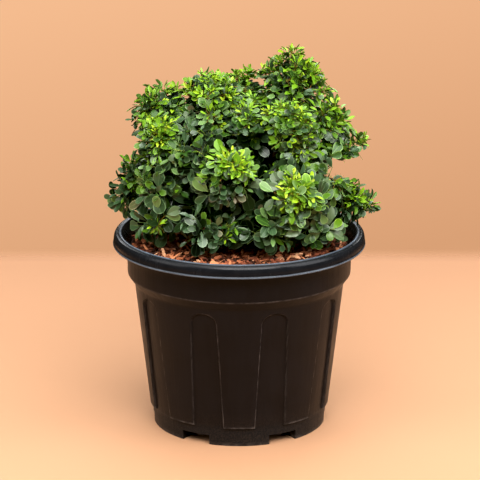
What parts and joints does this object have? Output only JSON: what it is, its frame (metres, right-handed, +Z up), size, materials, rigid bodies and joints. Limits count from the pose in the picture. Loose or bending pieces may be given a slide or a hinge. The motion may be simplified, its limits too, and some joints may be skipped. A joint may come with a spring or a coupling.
{
  "type": "potted orange jasmine",
  "caption": "Dwarf orange jasmine with a dense lumpy crown of small rounded leaflets and lime shoot tips, in a ribbed round black nursery pot topped with bark mulch.",
  "frame": {"origin": "centre of the pot's flat underside, on the surface it stands on", "axes": "+Z up along the pot's axis; -Y is the front of the plant and +X its right-hand side, seen from the front"},
  "size_m": [0.221, 0.205, 0.313],
  "materials": {
    "pot_plastic": "dark brown-black moulded plastic, softly glossy, with a slightly bluer sheen on the rolled rim",
    "potting_mix": "dark moist potting mix",
    "bark_mulch": "reddish-brown shredded bark chips, dry and matte",
    "bark": "brown bark, lightly fissured; young twigs reddish-brown to yellow-green",
    "foliage": "small rounded leathery leaflets, dark blue-green with a soft sheen, lime-yellow at the shoot tips"
  },
  "bodies": {
    "root": {"bark_mulch": "bark_mulch", "bough_back_left_mid": "bark", "bough_back_left_upper": "bark", "bough_back_mid": "bark", "bough_back_right_mid": "bark", "bough_back_right_upper": "bark", "bough_back_upper": "bark", "bough_centre_front": "bark", "bough_centre_left_dome": "bark", "bough_centre_left_mid": "bark", "bough_centre_mid": "bark", "bough_far_left_low": "bark", "bough_left_column": "bark", "bough_left_mid": "bark", "bough_left_tuft": "bark", "bough_lower_right": "bark", "bough_right_edge": "bark", "bough_right_front": "bark", "bough_right_inner": "bark", "bough_right_mid_front": "bark", "bough_right_shoulder": "bark", "bough_skirt_back_left": "bark", "bough_skirt_back_right": "bark", "bough_skirt_front_left": "bark", "bough_skirt_front_right": "bark", "bough_skirt_left": "bark", "bough_skirt_right": "bark", "bough_top_column": "bark", "foliage_back_left_mid": "foliage", "foliage_back_left_upper": "foliage", "foliage_back_mid": "foliage", "foliage_back_right_mid": "foliage", "foliage_back_right_upper": "foliage", "foliage_back_tuft": "foliage", "foliage_back_upper": "foliage", "foliage_centre_front": "foliage", "foliage_centre_left_dome": "foliage", "foliage_centre_left_mid": "foliage", "foliage_centre_mid": "foliage", "foliage_far_left_low": "foliage", "foliage_left_column": "foliage", "foliage_left_mid": "foliage", "foliage_left_tuft": "foliage", "foliage_lower_right": "foliage", "foliage_right_edge": "foliage", "foliage_right_front": "foliage", "foliage_right_inner": "foliage", "foliage_right_mid_front": "foliage", "foliage_right_shoulder": "foliage", "foliage_skirt_back_left": "foliage", "foliage_skirt_back_right": "foliage", "foliage_skirt_front_left": "foliage", "foliage_skirt_front_right": "foliage", "foliage_skirt_left": "foliage", "foliage_skirt_right": "foliage", "foliage_top_column": "foliage", "pot": "pot_plastic", "potting_mix": "potting_mix", "stem": "bark"}
  },
  "joints": []
}
